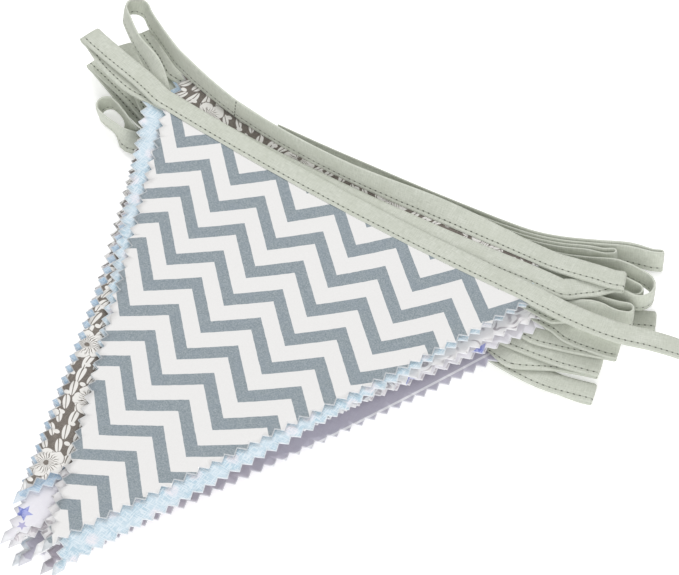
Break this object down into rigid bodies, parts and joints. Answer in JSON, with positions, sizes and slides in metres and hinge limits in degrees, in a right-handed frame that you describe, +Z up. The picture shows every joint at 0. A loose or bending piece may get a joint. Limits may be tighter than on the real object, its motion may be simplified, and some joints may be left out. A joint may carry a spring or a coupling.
{
  "type": "fabric bunting",
  "caption": "Folded fabric bunting: triangular pennants with pinked edges in soft prints, stacked along one sage binding tape that turns back in loops past their corners.",
  "frame": {"origin": "on the underside of the bottom pennant, 70 mm from the pennants' top edges towards their tips", "axes": "+X along the pennants' top edges towards the free tie end, +Y from the tips to the top edges, +Z up"},
  "size_m": [0.3454, 0.2708, 0.0256],
  "materials": {
    "chevron_cotton": "soft matt weave",
    "pale_blue_linen": "soft matt weave",
    "taupe_floral_cotton": "soft matt weave",
    "white_scroll_cotton": "soft matt weave",
    "pale_blue_cotton": "soft matt weave",
    "white_star_cotton": "soft matt weave",
    "lavender_line_cotton": "soft matt weave",
    "grey_floral_cotton": "soft matt weave",
    "white_dot_cotton": "soft matt weave",
    "lavender_cotton": "soft matt weave",
    "white_cotton": "soft matt weave",
    "pale_blue_check_cotton": "soft matt weave",
    "sage_tape": "soft matt weave"
  },
  "bodies": {
    "root": {"pennant_01": "chevron_cotton", "pennant_02": "pale_blue_linen", "pennant_03": "taupe_floral_cotton", "pennant_04": "white_scroll_cotton", "pennant_05": "pale_blue_cotton", "pennant_06": "white_star_cotton", "pennant_07": "white_cotton", "pennant_08": "grey_floral_cotton", "pennant_09": "lavender_line_cotton", "pennant_10": "white_dot_cotton", "pennant_11": "lavender_cotton", "pennant_12": "pale_blue_check_cotton", "binding_tape": "sage_tape"}
  },
  "joints": []
}
